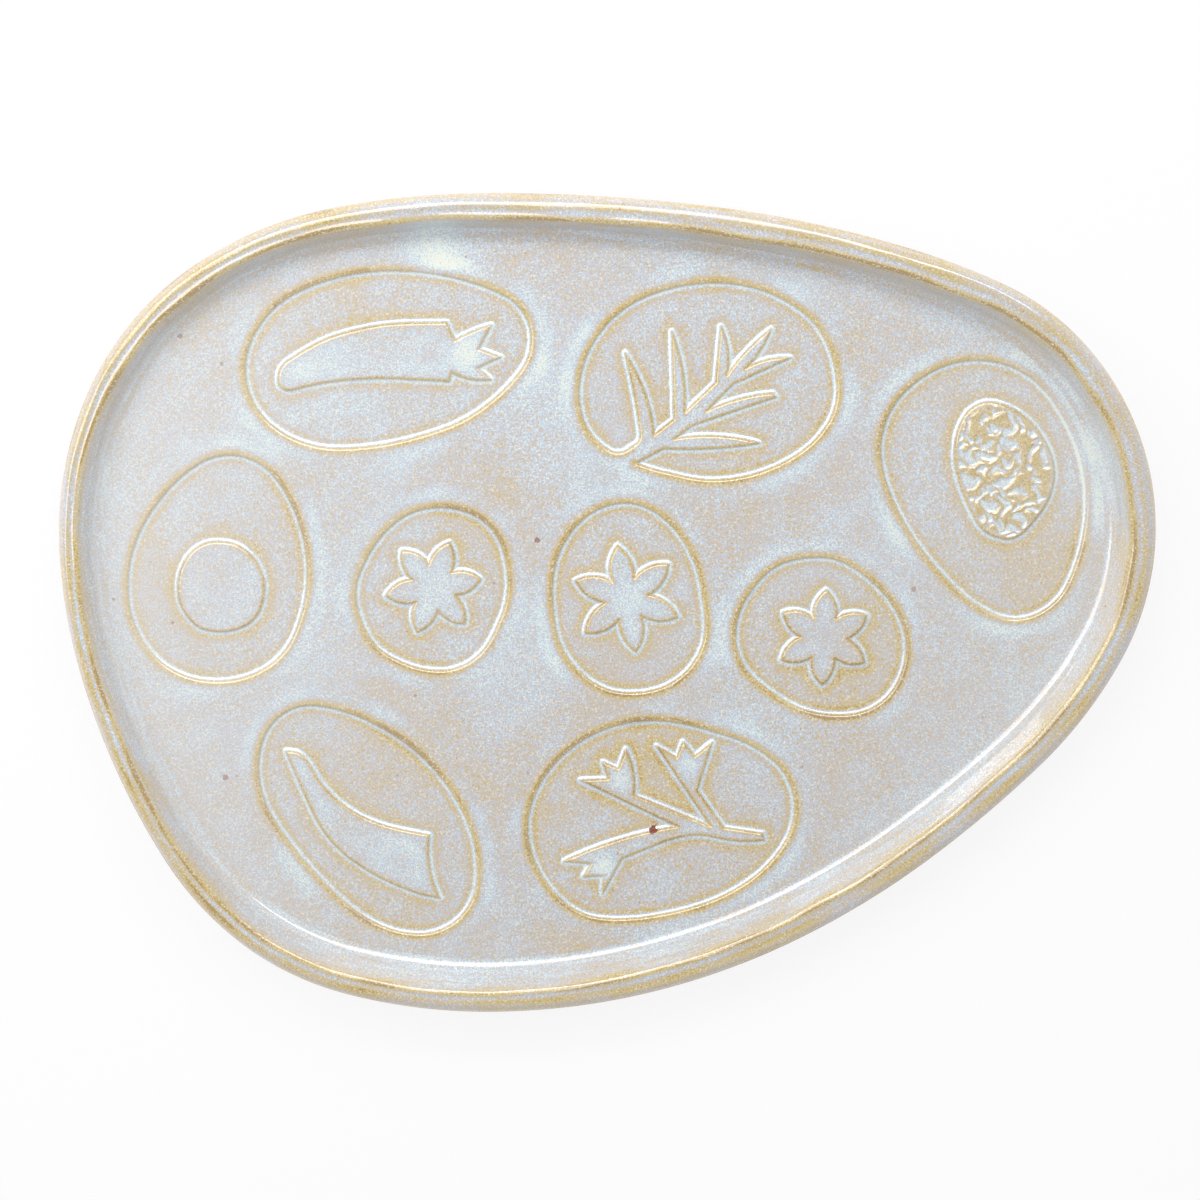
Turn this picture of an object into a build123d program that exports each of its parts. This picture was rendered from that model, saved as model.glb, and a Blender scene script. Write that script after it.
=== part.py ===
from build123d import *
from math import cos, radians, sin, sqrt
import os

# Seder plate of hand-built, glazed stoneware, in millimetres.
# The origin is under the middle of the plate, at the foot's lower face. +X runs to the narrow
# end, +Y to the side that the food figures stand upright to, and +Z is up.

# Whole plate. Length and width are taken at the belly, the widest line of the rim.
plate_length = 360.0
plate_width = 273.0

# Foot ring under the slab
foot_height = 4.0
foot_width = 8.0
foot_inset = 26.0
foot_edge_radius = 1.2

# Floor slab. Its upper face is the field that carries the food.
floor_thickness = 7.0
floor_edge_radius = 5.0
well_depth = 1.2

# Rim wall, standing on the margin of the slab. Rises are measured from the field,
# and insets are measured inwards from the belly.
rim_rise = 13.0
belly_rise = 7.5
belly_radius = 5.8
flank_angle = 55.0
wall_thickness = 8.0
outer_bead_inset = 3.9
outer_bead_drop = 0.25
inner_bead_inset = 7.2
bead_half_width = 0.75
bead_height = 0.4
groove_depth = 0.75

# Seam coil, pressed into the corner between the wall and the slab
coil_reach = 4.5
coil_hollow = 1.0

# Places that follow from the sizes above
floor_bottom = foot_height
field_height = foot_height + floor_thickness
well_floor_height = field_height - well_depth
rim_height = field_height + rim_rise
flank = radians(flank_angle)
flank_top_inset = belly_radius - belly_radius * sin(flank)
flank_top_rise = belly_rise - belly_radius * cos(flank)
wall_foot_inset = flank_top_inset + flank_top_rise * cos(flank) / sin(flank)
wall_inner_inset = wall_foot_inset + wall_thickness

# An outline is a list of rows, taken anticlockwise for the plate and the wells. A row holds an
# x share of the shape's length, a y share of its width, and the heading there in degrees.
# A heading of None is a plain corner. A row with two headings is a corner between curves,
# with the heading that arrives and the heading that leaves.
plate_shares = [
    (0.500, 0.092, 90),
    (0.428, 0.326, 134),
    (0.276, 0.433, 163),
    (-0.105, 0.500, 180),
    (-0.374, 0.413, 214),
    (-0.500, 0.088, 270),
    (-0.447, -0.214, 294),
    (-0.357, -0.394, 317),
    (-0.112, -0.500, 0),
    (0.179, -0.407, 27),
    (0.399, -0.191, 45),
]

# Wells stamped into the field, and the raised figure in each. A figure's shares are of its
# well's length and width, from the well's middle.
root_well_length = 95.0
root_well_width = 57.0
root_well_turn = 12.0
root_place_shares = (-0.200, 0.304)
root_well_shares = [
    (0.500, -0.020, 90),
    (0.300, 0.343, 154),
    (-0.080, 0.500, 180),
    (-0.400, 0.340, 221),
    (-0.500, 0.000, 270),
    (-0.400, -0.335, 320),
    (-0.040, -0.500, 0),
    (0.300, -0.396, 26),
]
root_figure_shares = [
    (-0.390, -0.025, 90),
    (-0.245, 0.147, 17),
    (-0.060, 0.183, 0),
    (0.222, 0.115, -12, None),
    (0.238, 0.006, None, 18),
    (0.371, 0.047, None),
    (0.312, -0.073, None),
    (0.379, -0.144, None),
    (0.294, -0.177, None),
    (0.331, -0.259, None, 178),
    (0.203, -0.171, None),
    (0.188, -0.220, None, 163),
    (0.048, -0.157, 164),
    (-0.172, -0.086, 174),
    (-0.350, -0.080, 184),
]

leaf_well_length = 84.0
leaf_well_width = 67.5
leaf_well_turn = 20.0
leaf_place_shares = (0.090, 0.270)
# The well's mouth, where the stem joins the field, lies between the two corners marked here.
leaf_mouth_upper_share = (-0.340, -0.162)
leaf_mouth_lower_share = (-0.364, -0.249)
leaf_well_shares = [
    (0.500, -0.055, 90),
    (0.302, 0.360, 145),
    (-0.080, 0.500, 180),
    (-0.400, 0.329, 227),
    (-0.500, 0.030, 270),
    (-0.455, -0.130, 302),
    (-0.405, -0.174, 350),
    (*leaf_mouth_upper_share, 12, None),
    (*leaf_mouth_lower_share, None, 317),
    (-0.200, -0.396, 327),
    (0.100, -0.500, 0),
    (0.400, -0.383, 40),
]
leaf_figure_shares = [
    (*leaf_mouth_upper_share, None, 12),
    (-0.306, -0.110, 80, None),
    (-0.256, 0.275, None, -76),
    (-0.258, -0.148, None),
    (-0.164, -0.110, None),
    (-0.056, 0.296, None, -88),
    (-0.113, -0.094, None),
    (0.037, -0.011, None),
    (0.130, 0.238, None, -82),
    (0.089, 0.004, None, 36),
    (0.310, 0.142, None, 232),
    (0.166, 0.005, None, 10),
    (0.343, -0.021, None),
    (0.100, -0.047, None),
    (-0.034, -0.127, None, 6),
    (0.232, -0.155, None),
    (0.239, -0.178, None),
    (-0.106, -0.170, None),
    (-0.190, -0.201, None, -10),
    (0.116, -0.362, None, 170),
    (-0.241, -0.228, None),
    (*leaf_mouth_lower_share, None),
]

charoset_well_length = 88.5
charoset_well_width = 62.8
charoset_well_turn = -66.0
charoset_place_shares = (0.353, 0.141)
charoset_well_shares = [
    (0.500, -0.050, 90),
    (0.302, 0.339, 146),
    (-0.060, 0.500, 180),
    (-0.399, 0.341, 225),
    (-0.500, 0.000, 270),
    (-0.398, -0.369, 316),
    (-0.120, -0.500, 0),
    (0.302, -0.372, 23),
]
charoset_figure_shares = [
    (0.200, 0.010, 90),
    (0.158, 0.171, 118),
    (-0.047, 0.356, 180),
    (-0.260, 0.252, 222),
    (-0.316, 0.110, 270),
    (-0.245, -0.056, 323),
    (-0.010, -0.148, 0),
    (0.164, -0.085, 48),
]

disc_well_length = 76.4
disc_well_width = 59.3
disc_well_turn = 77.0
disc_place_shares = (-0.356, 0.045)
disc_well_shares = [
    (0.500, 0.017, 90),
    (0.302, 0.365, 150),
    (-0.047, 0.500, 180),
    (-0.400, 0.323, 226),
    (-0.500, 0.008, 270),
    (-0.363, -0.390, 319),
    (-0.070, -0.500, 0),
    (0.302, -0.351, 33),
]
disc_figure_shares = [
    (0.119, -0.025, 90),
    (0.068, 0.150, 137),
    (-0.065, 0.214, 180),
    (-0.210, 0.156, 220),
    (-0.277, 0.000, 270),
    (-0.250, -0.148, 298),
    (-0.185, -0.243, 330),
    (-0.088, -0.271, 0),
    (0.086, -0.153, 56),
]

bone_well_length = 91.2
bone_well_width = 53.8
bone_well_turn = -50.0
bone_place_shares = (-0.220, -0.263)
bone_well_shares = [
    (0.500, -0.022, 90),
    (0.302, 0.401, 155),
    (0.026, 0.500, 180),
    (-0.300, 0.369, 206),
    (-0.500, -0.022, 270),
    (-0.399, -0.339, 321),
    (-0.018, -0.500, 0),
    (0.302, -0.427, 20),
]
bone_figure_shares = [
    (-0.385, -0.130, 160, 50),
    (-0.335, -0.072, 5),
    (-0.195, -0.097, 0),
    (0.000, -0.022, 26),
    (0.190, 0.205, 40, None),
    (0.395, -0.006, 345, 222),
    (0.200, -0.202, 202),
    (-0.030, -0.288, 180),
    (-0.220, -0.222, 163),
]

sprig_well_length = 90.0
sprig_well_width = 66.9
sprig_well_turn = 8.0
sprig_place_shares = (0.050, -0.263)
sprig_well_shares = [
    (0.500, 0.000, 90),
    (0.302, 0.354, 153),
    (-0.050, 0.500, 180),
    (-0.399, 0.297, 227),
    (-0.500, -0.018, 270),
    (-0.399, -0.372, 312),
    (-0.106, -0.500, 0),
    (0.302, -0.378, 29),
]
sprig_figure_shares = [
    (0.366, -0.154, None),
    (0.368, -0.190, None, 178),
    (0.200, -0.146, 157),
    (0.100, -0.114, 180),
    (-0.164, -0.183, 193, None),
    (-0.256, -0.350, None),
    (-0.244, -0.258, None),
    (-0.318, -0.250, None),
    (-0.281, -0.188, None),
    (-0.381, -0.157, None, 18),
    (0.056, -0.060, None),
    (-0.276, 0.242, None),
    (-0.175, 0.228, None),
    (-0.185, 0.317, None),
    (-0.131, 0.273, None),
    (-0.094, 0.366, None, -70),
    (-0.088, 0.130, None),
    (0.178, -0.082, None),
    (0.021, 0.361, None),
    (0.089, 0.290, None),
    (0.120, 0.364, None),
    (0.157, 0.284, None),
    (0.226, 0.340, None),
    (0.148, 0.110, None),
    (0.226, -0.098, None),
]

# Three pebble-shaped wells in the middle of the field, each with a plain petal rosette
pebble_shares = [
    (0.500, -0.040, 90),
    (0.300, 0.385, 148),
    (-0.090, 0.500, 180),
    (-0.410, 0.310, 228),
    (-0.500, -0.030, 270),
    (-0.360, -0.400, 322),
    (0.000, -0.500, 0),
    (0.370, -0.345, 38),
]
left_pebble_length = 55.0
left_pebble_width = 49.0
left_pebble_turn = 70.0
left_pebble_place_shares = (-0.160, 0.022)
left_rosette_radius = 16.0
middle_pebble_length = 64.0
middle_pebble_width = 50.0
middle_pebble_turn = 100.0
middle_pebble_place_shares = (0.018, 0.008)
middle_rosette_radius = 18.0
right_pebble_length = 58.0
right_pebble_width = 50.0
right_pebble_turn = -32.0
right_pebble_place_shares = (0.200, -0.040)
right_rosette_radius = 16.0
petal_count = 6
petal_width = 8.0
rosette_hub_radius = 3.4


def heading_vector(degrees):
    return Vector(cos(radians(degrees)), sin(radians(degrees)))


def meeting_point(here, there, go, come):
    # Two arcs, one leaving here along go and one arriving there along come, meet halfway
    # between the ends of two tangent handles of one length.
    gap = there - here
    reach = gap.dot(go + come)
    spread = 2 * (1 - go.dot(come))
    handle = gap.dot(gap) / (reach + sqrt(reach * reach + spread * gap.dot(gap)))
    return (here + there + (go - come) * handle) * 0.5


def trace(shares, length, width):
    # A span is a line between two plain corners, one arc where one end has a heading,
    # and two arcs that meet tangentially where both ends have one.
    for start, end in zip(shares, shares[1:] + shares[:1]):
        here = Vector(start[0] * length, start[1] * width)
        there = Vector(end[0] * length, end[1] * width)
        leaving, arriving = start[-1], end[2]
        if leaving is None and arriving is None:
            Line(here, there)
        elif arriving is None:
            TangentArc(here, there, tangent=heading_vector(leaving))
        elif leaving is None:
            TangentArc(there, here, tangent=-heading_vector(arriving))
        else:
            middle = meeting_point(here, there, heading_vector(leaving), heading_vector(arriving))
            first = TangentArc(here, middle, tangent=heading_vector(leaving))
            TangentArc(middle, there, tangent=first % 1)


def field_plane(place_shares, turn, height):
    # A plane at a height over the field, centred on a well and turned with it
    x_share, y_share = place_shares
    return Plane(Location((x_share * plate_length, y_share * plate_width, height), (0, 0, turn)))


def add_outline(shares, length, width):
    # The face inside an outline, in the sketch that is open
    with BuildLine() as outline:
        trace(shares, length, width)
    make_face(outline.edges())


wells = [
    (root_well_shares, root_well_length, root_well_width, root_place_shares, root_well_turn),
    (leaf_well_shares, leaf_well_length, leaf_well_width, leaf_place_shares, leaf_well_turn),
    (charoset_well_shares, charoset_well_length, charoset_well_width,
     charoset_place_shares, charoset_well_turn),
    (disc_well_shares, disc_well_length, disc_well_width, disc_place_shares, disc_well_turn),
    (bone_well_shares, bone_well_length, bone_well_width, bone_place_shares, bone_well_turn),
    (sprig_well_shares, sprig_well_length, sprig_well_width, sprig_place_shares, sprig_well_turn),
    (pebble_shares, left_pebble_length, left_pebble_width,
     left_pebble_place_shares, left_pebble_turn),
    (pebble_shares, middle_pebble_length, middle_pebble_width,
     middle_pebble_place_shares, middle_pebble_turn),
    (pebble_shares, right_pebble_length, right_pebble_width,
     right_pebble_place_shares, right_pebble_turn),
]

# The belly line at the level of the table, which the slab's edge, wall, coil and foot follow.
# Their sections stand on it at the narrow end, with x inwards and y up.
with BuildLine() as belly_line:
    trace(plate_shares, plate_length, plate_width)
narrow_end = Vector(plate_shares[0][0] * plate_length, plate_shares[0][1] * plate_width)
section_plane = Plane(origin=narrow_end, x_dir=(-1, 0, 0), z_dir=(0, 1, 0))

# Floor slab: an edge that goes on at the wall's slope and rounds under, a flat middle,
# and the wells pressed into its upper face
slab_toe_inset = wall_foot_inset + floor_thickness * cos(flank) / sin(flank)
with BuildPart() as floor_slab:
    with BuildSketch(section_plane) as slab_edge:
        Polygon(
            (wall_foot_inset, field_height),
            (slab_toe_inset, floor_bottom),
            (foot_inset, floor_bottom),
            (foot_inset, field_height),
            align=None,
        )
        toe = slab_edge.vertices().sort_by(Axis.Y)[:2].sort_by(Axis.X)[0]
        fillet(toe, radius=floor_edge_radius)
    sweep(path=belly_line.wire())
    with BuildSketch(Plane.XY.offset(floor_bottom)):
        add_outline(plate_shares, plate_length, plate_width)
        offset(amount=-foot_inset)
    extrude(amount=floor_thickness)
    for shares, length, width, place_shares, turn in wells:
        with BuildSketch(field_plane(place_shares, turn, well_floor_height)):
            add_outline(shares, length, width)
        extrude(amount=well_depth, mode=Mode.SUBTRACT)

# Rim wall: a flared flank, a rounded belly and shoulder, an outer and an inner bead with
# a shallow groove between them, and a sloping inner face with the coil against its lower part
outer_crest = Vector(outer_bead_inset, rim_height - outer_bead_drop)
inner_crest = Vector(inner_bead_inset, rim_height)
outer_bead_start = outer_crest + Vector(-bead_half_width, -bead_height)
outer_bead_end = outer_crest + Vector(bead_half_width, -bead_height)
inner_bead_start = inner_crest + Vector(-bead_half_width, -bead_height)
inner_bead_end = inner_crest + Vector(bead_half_width, -bead_height)
groove_bottom = (outer_crest + inner_crest) * 0.5 + Vector(0, -groove_depth)
wall_foot_outer = Vector(wall_foot_inset, field_height)
wall_foot_inner = Vector(wall_inner_inset, field_height)
flank_top = Vector(flank_top_inset, field_height + flank_top_rise)
belly = Vector(0, field_height + belly_rise)
wall_lean = (inner_bead_end - wall_foot_inner).normalized()
coil_top = wall_foot_inner + wall_lean * coil_reach
coil_toe = wall_foot_inner + Vector(coil_reach, 0)
with BuildPart() as rim_wall:
    with BuildSketch(section_plane):
        with BuildLine():
            Line(wall_foot_outer, flank_top)
            TangentArc(belly, flank_top, tangent=(0, -1))
            TangentArc(belly, outer_bead_start, tangent=(0, 1))
            ThreePointArc(outer_bead_start, outer_crest, outer_bead_end)
            ThreePointArc(outer_bead_end, groove_bottom, inner_bead_start)
            ThreePointArc(inner_bead_start, inner_crest, inner_bead_end)
            Polyline(inner_bead_end, coil_top, wall_foot_inner, wall_foot_outer)
        make_face()
    sweep(path=belly_line.wire())

# Seam coil: a cove that leaves the wall's inner face and the field at a shallow angle
with BuildPart() as seam_coil:
    with BuildSketch(section_plane):
        with BuildLine():
            Polyline(coil_top, wall_foot_inner, coil_toe)
            SagittaArc(coil_toe, coil_top, coil_hollow)
        make_face()
    sweep(path=belly_line.wire())

# Foot ring: an unglazed band under the slab, with eased lower edges
with BuildPart() as foot_ring:
    with BuildSketch(section_plane):
        with BuildLine():
            Polyline(
                (foot_inset, 0),
                (foot_inset + foot_width, 0),
                (foot_inset + foot_width, foot_height),
                (foot_inset, foot_height),
                close=True,
            )
        make_face()
    sweep(path=belly_line.wire())
    fillet(foot_ring.faces().sort_by(Axis.Z)[0].edges(), radius=foot_edge_radius)


def raised_figure(name, shares, length, width, place_shares, turn):
    # A flat figure that stands on its well's floor and reaches the level of the field
    with BuildPart() as figure:
        with BuildSketch(field_plane(place_shares, turn, well_floor_height)):
            add_outline(shares, length, width)
        extrude(amount=well_depth)
    figure.part.label = name
    return figure.part


def rosette(name, radius, place_shares, turn):
    # Pointed petals of two arcs each, joined at a round hub
    with BuildPart() as figure:
        with BuildSketch(field_plane(place_shares, turn, well_floor_height)):
            Circle(rosette_hub_radius)
            with BuildLine() as petal:
                ThreePointArc((0, 0), (radius / 2, petal_width / 2), (radius, 0))
                ThreePointArc((radius, 0), (radius / 2, -petal_width / 2), (0, 0))
            petal_face = make_face(mode=Mode.PRIVATE)
            with PolarLocations(0, petal_count):
                add(petal_face)
        extrude(amount=well_depth)
    figure.part.label = name
    return figure.part


floor_slab.part.label = "floor_slab"
rim_wall.part.label = "rim_wall"
seam_coil.part.label = "seam_coil"
foot_ring.part.label = "foot_ring"
pieces = [
    floor_slab.part,
    rim_wall.part,
    seam_coil.part,
    foot_ring.part,
    raised_figure("root_figure", root_figure_shares, root_well_length, root_well_width,
                  root_place_shares, root_well_turn),
    raised_figure("leaf_figure", leaf_figure_shares, leaf_well_length, leaf_well_width,
                  leaf_place_shares, leaf_well_turn),
    raised_figure("charoset_pad", charoset_figure_shares, charoset_well_length,
                  charoset_well_width, charoset_place_shares, charoset_well_turn),
    raised_figure("disc_figure", disc_figure_shares, disc_well_length, disc_well_width,
                  disc_place_shares, disc_well_turn),
    raised_figure("bone_figure", bone_figure_shares, bone_well_length, bone_well_width,
                  bone_place_shares, bone_well_turn),
    raised_figure("sprig_figure", sprig_figure_shares, sprig_well_length, sprig_well_width,
                  sprig_place_shares, sprig_well_turn),
    rosette("rosette_left", left_rosette_radius, left_pebble_place_shares, left_pebble_turn),
    rosette("rosette_middle", middle_rosette_radius, middle_pebble_place_shares,
            middle_pebble_turn),
    rosette("rosette_right", right_rosette_radius, right_pebble_place_shares,
            right_pebble_turn),
]

os.makedirs("parts", exist_ok=True)
for piece in pieces:
    export_step(piece, f"parts/{piece.label}.step")
    print(piece.label, round(piece.volume), "mm3")
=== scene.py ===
import bpy
import numpy as np
from math import ceil, log2, radians, tan
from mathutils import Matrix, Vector
from mathutils.geometry import delaunay_2d_cdt


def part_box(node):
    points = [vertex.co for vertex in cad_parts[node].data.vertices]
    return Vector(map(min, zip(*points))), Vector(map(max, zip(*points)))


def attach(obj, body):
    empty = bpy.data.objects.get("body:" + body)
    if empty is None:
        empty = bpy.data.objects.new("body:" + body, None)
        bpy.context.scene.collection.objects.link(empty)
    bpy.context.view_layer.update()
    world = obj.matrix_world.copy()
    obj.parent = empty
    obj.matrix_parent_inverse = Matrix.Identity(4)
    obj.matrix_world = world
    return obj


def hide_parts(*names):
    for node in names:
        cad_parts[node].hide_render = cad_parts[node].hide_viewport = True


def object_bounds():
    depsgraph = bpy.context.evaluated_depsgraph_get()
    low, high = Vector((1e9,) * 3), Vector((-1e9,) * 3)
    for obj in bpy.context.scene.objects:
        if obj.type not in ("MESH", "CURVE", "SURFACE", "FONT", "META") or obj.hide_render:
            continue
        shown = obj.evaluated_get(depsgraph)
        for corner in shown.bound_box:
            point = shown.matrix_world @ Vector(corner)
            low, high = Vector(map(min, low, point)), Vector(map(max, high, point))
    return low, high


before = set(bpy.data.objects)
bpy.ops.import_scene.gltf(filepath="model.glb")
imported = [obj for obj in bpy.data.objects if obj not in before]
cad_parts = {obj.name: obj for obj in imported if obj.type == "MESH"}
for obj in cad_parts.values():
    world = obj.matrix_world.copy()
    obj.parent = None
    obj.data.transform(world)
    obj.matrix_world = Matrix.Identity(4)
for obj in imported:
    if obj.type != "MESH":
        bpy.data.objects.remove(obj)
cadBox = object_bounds()
print("frame loaded:", len(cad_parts), "nodes")

millimetre = 0.001                      # the plate's sizes are in millimetres, the stage's in metres
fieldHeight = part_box("floor_slab")[1].z / millimetre
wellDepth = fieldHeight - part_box("disc_figure")[0].z / millimetre
bellyHeight = 18.5                      # level of the rim's widest line
figureNodes = [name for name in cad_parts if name.endswith(("figure", "pad"))]
rosetteNodes = [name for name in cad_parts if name.startswith("rosette")]

outlineLook = {
    "wellSpacing": 1.0,
    "figureSpacing": 0.65,
    "rimSpacing": 1.1,
    "cornerDegrees": 12.0,              # a sharper turn than this is a corner
    "fanSteps": 7,
    "tile": 9.0, "tileRow": 4096,       # points are worked a square of this side at a time
    "band": 1500,                       # or a band of this many points at a time
    "offLine": 0.015,                   # an offset point may miss its distance by this much
    "sharedLine": 0.03,                 # outlines nearer than this are one line
    "levelGap": 0.002,                  # corners this near to a height are at it
    "onLine": 1e-3,                     # and points this near to a line are on it
}
meshLook = {"mergesPerMillimetre": 1000, "sharpDegrees": 48.0}
stepLook = {
    "edgeRadius": 1.05,                 # glaze drawn thin over the upper edge
    "cornerRadius": 1.75,               # glaze pooled in the lower corner
    "wallDegrees": 55.0,
    "bendSteps": 9,
    "rings": [0.14, 0.3, 0.48, 0.68, 0.88, 1.08, 1.3, 1.75, 2.4, 3.4],
    "reach": 9.0,                       # lines further away than this have no effect
}
fieldLook = {"fill": 2.6, "ripple": 0.07, "rippleLength": 62.0, "seed": 11}


def nodeTriangles(name):
    # Corners of a CAD node in millimetres, merged to a micrometre, and its triangles
    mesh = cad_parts[name].data
    flat = np.zeros(len(mesh.vertices) * 3, np.float32)
    mesh.vertices.foreach_get("co", flat)
    loops = np.zeros(len(mesh.loops), np.int32)
    mesh.loops.foreach_get("vertex_index", loops)
    grid = np.round(flat.reshape(-1, 3).astype(float) * 1e6).astype(np.int64)
    merged, index = np.unique(grid, axis=0, return_inverse=True)
    return merged / 1000.0, index.reshape(-1)[loops].reshape(-1, 3)


def boundaryEdges(triangles):
    # Directed edges of a set of triangles whose reverse isn't in the set
    edges = np.concatenate([triangles[:, [0, 1]], triangles[:, [1, 2]], triangles[:, [2, 0]]])
    size = triangles.max() + 1
    forward, backward = edges[:, 0] * size + edges[:, 1], edges[:, 1] * size + edges[:, 0]
    return edges[~np.isin(forward, backward)]


def chainLoops(edges):
    # Directed edges put in order. Hops are doubled until each edge knows the lowest edge of its
    # loop and the number of steps to it, and the steps give the order.
    edges = edges[np.argsort(edges[:, 0])]
    own = np.arange(len(edges))
    following = np.searchsorted(edges[:, 0], edges[:, 1])
    doublings = ceil(log2(len(edges))) + 1
    lowest, hop = own, following
    for _ in range(doublings):
        lowest, hop = np.minimum(lowest, lowest[hop]), hop[hop]
    steps, hop = (lowest != own).astype(int), np.where(lowest != own, following, own)
    for _ in range(doublings):
        steps, hop = steps + steps[hop], hop[hop]
    loops = []
    for start in np.unique(lowest):
        members = own[lowest == start]
        loops.append(edges[members[np.argsort(-steps[members] % len(members))], 0])
    return loops


def ringsAt(name, height):
    # Closed outlines of the part of a node that lies at or above a height, largest first
    corners, triangles = nodeTriangles(name)
    gap = outlineLook["levelGap"]
    above = np.all(corners[triangles][:, :, 2] > height - gap, axis=1)
    edges = boundaryEdges(triangles[above])
    level = np.all(np.abs(corners[edges][:, :, 2] - height) < gap, axis=1)
    rings = [corners[loop][:, :2] for loop in chainLoops(edges[level])]
    return sorted(rings, key=lambda ring: -abs(area(ring)))


def area(outline):
    # Half the sum of the cross products of neighbours, positive for an anticlockwise outline
    ahead = np.roll(outline, -1, axis=0)
    return 0.5 * (outline[:, 0] * ahead[:, 1] - outline[:, 1] * ahead[:, 0]).sum()


def unit(vectors):
    # Each vector over its own length
    return vectors / np.maximum(np.linalg.norm(vectors, axis=-1, keepdims=True), 1e-9)


def smoothOutline(corners, spacing):
    # Cubic spans through an outline's points. A smooth point's heading is that of the circle
    # through it and its neighbours, and beside a corner a span bends evenly from end to end.
    if area(corners) < 0:
        corners = corners[::-1]
    step = np.roll(corners, -1, axis=0) - corners
    length = np.hypot(*step.T)[:, None]
    ahead, behind = unit(step), unit(np.roll(step, 1, axis=0))
    lengthBehind = np.roll(length, 1, axis=0)
    turn = np.degrees(np.arccos(np.clip((ahead * behind).sum(axis=1), -1, 1)))
    sharp = turn > outlineLook["cornerDegrees"]
    heading = unit(ahead * lengthBehind + behind * length)
    leave, arrive = heading.copy(), np.roll(heading, -1, axis=0)
    sharpNext = np.roll(sharp, -1)
    mirrored = lambda way: 2 * (ahead * way).sum(axis=1, keepdims=True) * ahead - way
    leave = np.where((sharp & ~sharpNext)[:, None], mirrored(arrive), leave)
    arrive = np.where((~sharp & sharpNext)[:, None], mirrored(leave), arrive)
    straight = (sharp & sharpNext)[:, None]
    leave, arrive = np.where(straight, ahead, leave), np.where(straight, ahead, arrive)
    pieces = np.maximum(1, np.ceil(length[:, 0] / spacing).astype(int))
    span = np.repeat(np.arange(len(corners)), pieces)
    first = np.concatenate([[0], np.cumsum(pieces)[:-1]])
    t = ((np.arange(len(span)) - first[span]) / pieces[span])[:, None]
    start, end = corners[span], np.roll(corners, -1, axis=0)[span]
    curve = ((2 * t**3 - 3 * t**2 + 1) * start + (3 * t**2 - 2 * t**3) * end
             + length[span] * ((t**3 - 2 * t**2 + t) * leave[span] + (t**3 - t**2) * arrive[span]))
    cornerHere = np.zeros(len(span), bool)
    cornerHere[first] = sharp
    return curve, cornerHere


def evenly(outline, spacing):
    # The same closed outline with points at equal steps along it
    closed = np.vstack([outline, outline[:1]])
    along = np.concatenate([[0], np.cumsum(np.hypot(*np.diff(closed, axis=0).T))])
    count = int(round(along[-1] / spacing))
    wanted = np.arange(count) * along[-1] / count
    return np.stack([np.interp(wanted, along, closed[:, axis]) for axis in (0, 1)], axis=1)


def outwardNormals(outline):
    # Across the chord from the point before to the point after
    chord = unit(np.roll(outline, -1, axis=0) - np.roll(outline, 1, axis=0))
    return np.stack([chord[:, 1], -chord[:, 0]], axis=1)


def segmentsOf(outline):
    # Each point with the next one, and the last with the first
    return np.stack([outline, np.roll(outline, -1, axis=0)], axis=1)


def distanceTo(points, segments):
    # Distance from each point to its nearest segment, up to the reach. The points are taken a
    # tile at a time, each with the segments near its tile.
    reach, tile = stepLook["reach"], outlineLook["tile"]
    distances = np.full(len(points), reach)
    if not len(points):
        return distances
    start, run = segments[:, 0], segments[:, 1] - segments[:, 0]
    square = (run * run).sum(axis=1)
    margin = reach + tile * np.sqrt(0.5) + np.sqrt(square.max())
    cells = np.floor(points / tile).astype(np.int64)
    key = cells[:, 0] * outlineLook["tileRow"] + cells[:, 1]
    order = np.argsort(key)
    for members in np.split(order, np.flatnonzero(np.diff(key[order])) + 1):
        middle = (cells[members[0]] + 0.5) * tile
        close = np.hypot(*(start - middle).T) < margin
        if not close.any():
            continue
        gap = points[members, None, :] - start[None, close]
        share = np.clip((gap * run[close]).sum(axis=2) / square[close], 0, 1)[..., None]
        squares = ((gap - share * run[close]) ** 2).sum(axis=2).min(axis=1)
        distances[members] = np.minimum(np.sqrt(squares), reach)
    return distances


def inside(points, outline):
    # Odd number of outline spans crossed on the way out to +X, a band of heights at a time
    start, end = outline, np.roll(outline, -1, axis=0)
    low, high = np.minimum(start, end)[:, 1], np.maximum(start, end)[:, 1]
    order = np.argsort(points[:, 1])
    within = np.zeros(len(points), bool)
    for members in np.array_split(order, len(points) // outlineLook["band"] + 1):
        if not len(members):
            continue
        x, y = points[members, :1], points[members, 1:]
        level = (low <= y[-1]) & (high > y[0])
        first, last = start[level], end[level]
        spans = (first[:, 1] > y) != (last[:, 1] > y)
        rise = last[:, 1] - first[:, 1]
        rise = np.where(rise == 0, 1e-12, rise)         # a level span is never crossed
        crossing = first[:, 0] + (y - first[:, 1]) / rise * (last[:, 0] - first[:, 0])
        within[members] = (spans & (x < crossing)).sum(axis=1) % 2 == 1
    return within


def waves(points, seed, wavelength, count=26):
    # A smooth random height with a spread of one: cosines that run in random directions, each
    # with a length near the wavelength
    draw = np.random.default_rng(seed)
    heading = draw.uniform(0, 2 * np.pi, count)
    number = 2 * np.pi / (wavelength * draw.uniform(0.7, 1.5, count))
    phase = draw.uniform(0, 2 * np.pi, count)
    run = points[:, :1] * np.cos(heading) * number + points[:, 1:2] * np.sin(heading) * number
    return np.cos(run + phase).sum(axis=1) * np.sqrt(2 / count)


def ease(value, low, high):
    # Smooth change from 0 at low to 1 at high
    share = np.clip((value - low) / (high - low), 0, 1)
    return share * share * (3 - 2 * share)


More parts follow.
